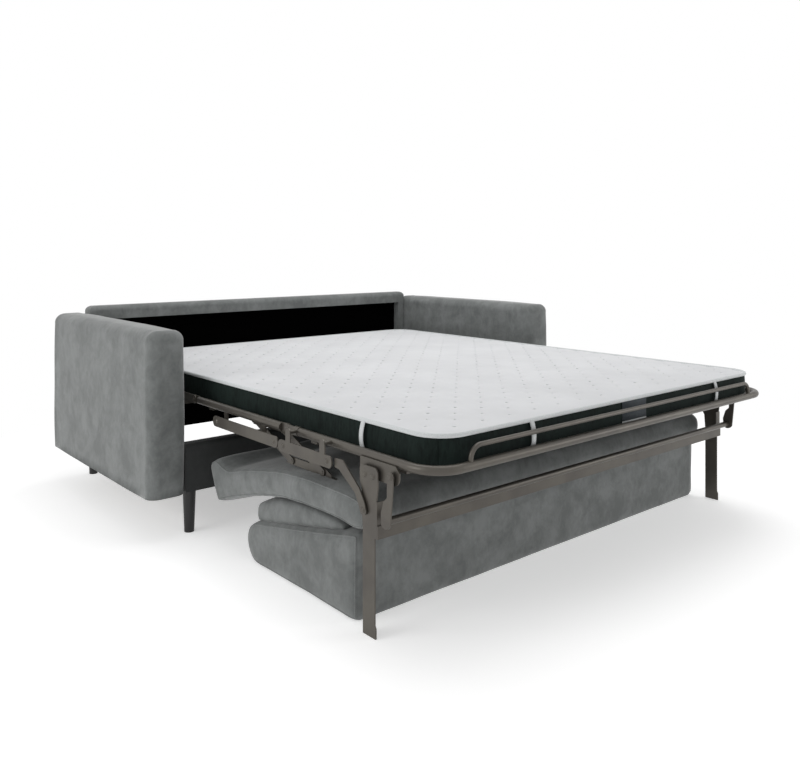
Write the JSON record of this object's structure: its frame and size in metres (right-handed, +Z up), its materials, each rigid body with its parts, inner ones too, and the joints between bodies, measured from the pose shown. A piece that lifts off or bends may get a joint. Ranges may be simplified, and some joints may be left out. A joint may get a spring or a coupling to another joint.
{
  "type": "sleeper sofa with pull-out bed",
  "caption": "Sofa opened into a bed: a folding steel frame carries a thick mattress out over the upturned seat and back cushions, between two upholstered arms.",
  "frame": {"origin": "on the floor, under the middle of the opened sofa's bounding box", "axes": "+X to the right as seen from the foot of the bed, +Y towards the sofa's back, +Z up"},
  "size_m": [2.074, 2.1966, 0.734],
  "materials": {
    "velvet": "grey crushed velvet upholstery",
    "dark_velvet": "dark grey velvet in the shade of the bed",
    "lining": "black lining cloth",
    "ticking": "pale quilted mattress cover with a dark green side band",
    "steel": "taupe bronze satin paint",
    "mesh_wire": "dark painted welded mesh",
    "feet": "black stained wood",
    "rail_wood": "plain beech rail"
  },
  "bodies": {
    "base": {"arm_left": "velvet", "arm_right": "velvet", "back_frame": "velvet", "back_lining": "lining", "front_rail": "dark_velvet", "base_side_left": "rail_wood", "base_side_right": "rail_wood", "sofa_feet": "feet"},
    "rear_swing_arms": {"rear_swing_arms": "steel"},
    "front_swing_arms": {"front_swing_arms": "steel"},
    "head_section": {"head_frame": "steel", "head_mesh": "mesh_wire", "mattress_head": "ticking"},
    "fold_links": {"fold_links": "steel", "mattress_fold": "ticking"},
    "middle_section": {"middle_frame": "steel", "middle_mesh": "mesh_wire", "mattress_middle": "ticking", "middle_bar_left": "steel", "middle_bar_right": "steel"},
    "foot_section": {"foot_frame": "steel", "foot_mesh": "mesh_wire", "mattress_foot": "ticking", "mattress_bend": "ticking", "foot_bar_left": "steel", "foot_bar_right": "steel", "leg_bracket_left": "steel", "leg_bracket_right": "steel", "stop_bar": "steel"},
    "bed_legs": {"bed_leg_left": "steel", "bed_leg_right": "steel", "leg_cross_bar": "steel", "leg_brace_left": "steel", "leg_brace_right": "steel"},
    "short_links": {"short_link_left": "steel", "short_link_right": "steel", "round_cross_tube": "steel"},
    "rear_seat_arms": {"rear_seat_arms": "steel"},
    "front_seat_arms": {"front_seat_arms": "steel"},
    "seat": {"seat_cushion": "velvet", "seat_rail_left": "steel", "seat_rail_right": "steel"},
    "back_links": {"back_links": "steel"},
    "back": {"back_cushion": "velvet"}
  },
  "joints": [
    {"name": "rear_arm_swing", "type": "hinge", "parent": "base", "child": "rear_swing_arms", "pos_m": [0, 1.01254, 0.19719], "axis": [1, 0, 0], "range_deg": [0, 69.51]},
    {"name": "front_arm_swing", "type": "hinge", "parent": "base", "child": "front_swing_arms", "pos_m": [0, 0.67254, 0.19719], "axis": [1, 0, 0], "range_deg": [0, 69.51]},
    {"name": "head_level", "type": "hinge", "parent": "rear_swing_arms", "child": "head_section", "pos_m": [0, 0.8197, 0.427], "axis": [-1, 0, 0], "range_deg": [0, 69.51]},
    {"name": "bed_fold", "type": "hinge", "parent": "head_section", "child": "fold_links", "pos_m": [0, 0.3797, 0.452], "axis": [-1, 0, 0], "range_deg": [0, 90], "deforming": ["mattress_fold"]},
    {"name": "middle_fold", "type": "hinge", "parent": "fold_links", "child": "middle_section", "pos_m": [0, 0.1597, 0.452], "axis": [-1, 0, 0], "range_deg": [0, 84]},
    {"name": "foot_fold", "type": "hinge", "parent": "middle_section", "child": "foot_section", "pos_m": [0, -0.4503, 0.452], "axis": [1, 0, 0], "range_deg": [0, 84], "deforming": ["mattress_bend"]},
    {"name": "bed_leg_fold", "type": "hinge", "parent": "foot_section", "child": "bed_legs", "pos_m": [0, -0.8673, 0.417], "axis": [1, 0, 0], "range_deg": [0, 90]},
    {"name": "short_link_fold", "type": "hinge", "parent": "foot_section", "child": "short_links", "pos_m": [0, -0.9523, 0.421], "axis": [-1, 0, 0], "range_deg": [0, 90]},
    {"name": "rear_seat_arm_swing", "type": "hinge", "parent": "middle_section", "child": "rear_seat_arms", "pos_m": [0, -0.3703, 0.437], "axis": [1, 0, 0], "range_deg": [0, 147.5]},
    {"name": "front_seat_arm_swing", "type": "hinge", "parent": "middle_section", "child": "front_seat_arms", "pos_m": [0, -0.2103, 0.437], "axis": [1, 0, 0], "range_deg": [0, 147.5]},
    {"name": "seat_tilt", "type": "hinge", "parent": "rear_seat_arms", "child": "seat", "pos_m": [0, -0.58741, 0.34707], "axis": [-1, 0, 0], "range_deg": [0, 147.5]},
    {"name": "back_link_swing", "type": "hinge", "parent": "seat", "child": "back_links", "pos_m": [0, -0.6818, 0.29], "axis": [1, 0, 0], "range_deg": [0, 102]},
    {"name": "back_tilt", "type": "hinge", "parent": "back_links", "child": "back", "pos_m": [0, -0.7853, 0.225], "axis": [-1, 0, 0], "range_deg": [0, 198]}
  ],
  "couplings": [
    {"joint": "rear_arm_swing", "follows": "bed_fold", "ratio": 0.77232},
    {"joint": "front_arm_swing", "follows": "bed_fold", "ratio": 0.77232},
    {"joint": "head_level", "follows": "bed_fold", "ratio": 0.77232},
    {"joint": "middle_fold", "follows": "bed_fold", "ratio": 0.93333},
    {"joint": "foot_fold", "follows": "bed_fold", "ratio": 0.93333},
    {"joint": "bed_leg_fold", "follows": "bed_fold", "ratio": 1},
    {"joint": "short_link_fold", "follows": "bed_fold", "ratio": 1},
    {"joint": "rear_seat_arm_swing", "follows": "bed_fold", "ratio": 1.6389},
    {"joint": "front_seat_arm_swing", "follows": "bed_fold", "ratio": 1.6389},
    {"joint": "seat_tilt", "follows": "bed_fold", "ratio": 1.6389},
    {"joint": "back_link_swing", "follows": "bed_fold", "ratio": 1.1333},
    {"joint": "back_tilt", "follows": "bed_fold", "ratio": 2.2}
  ]
}
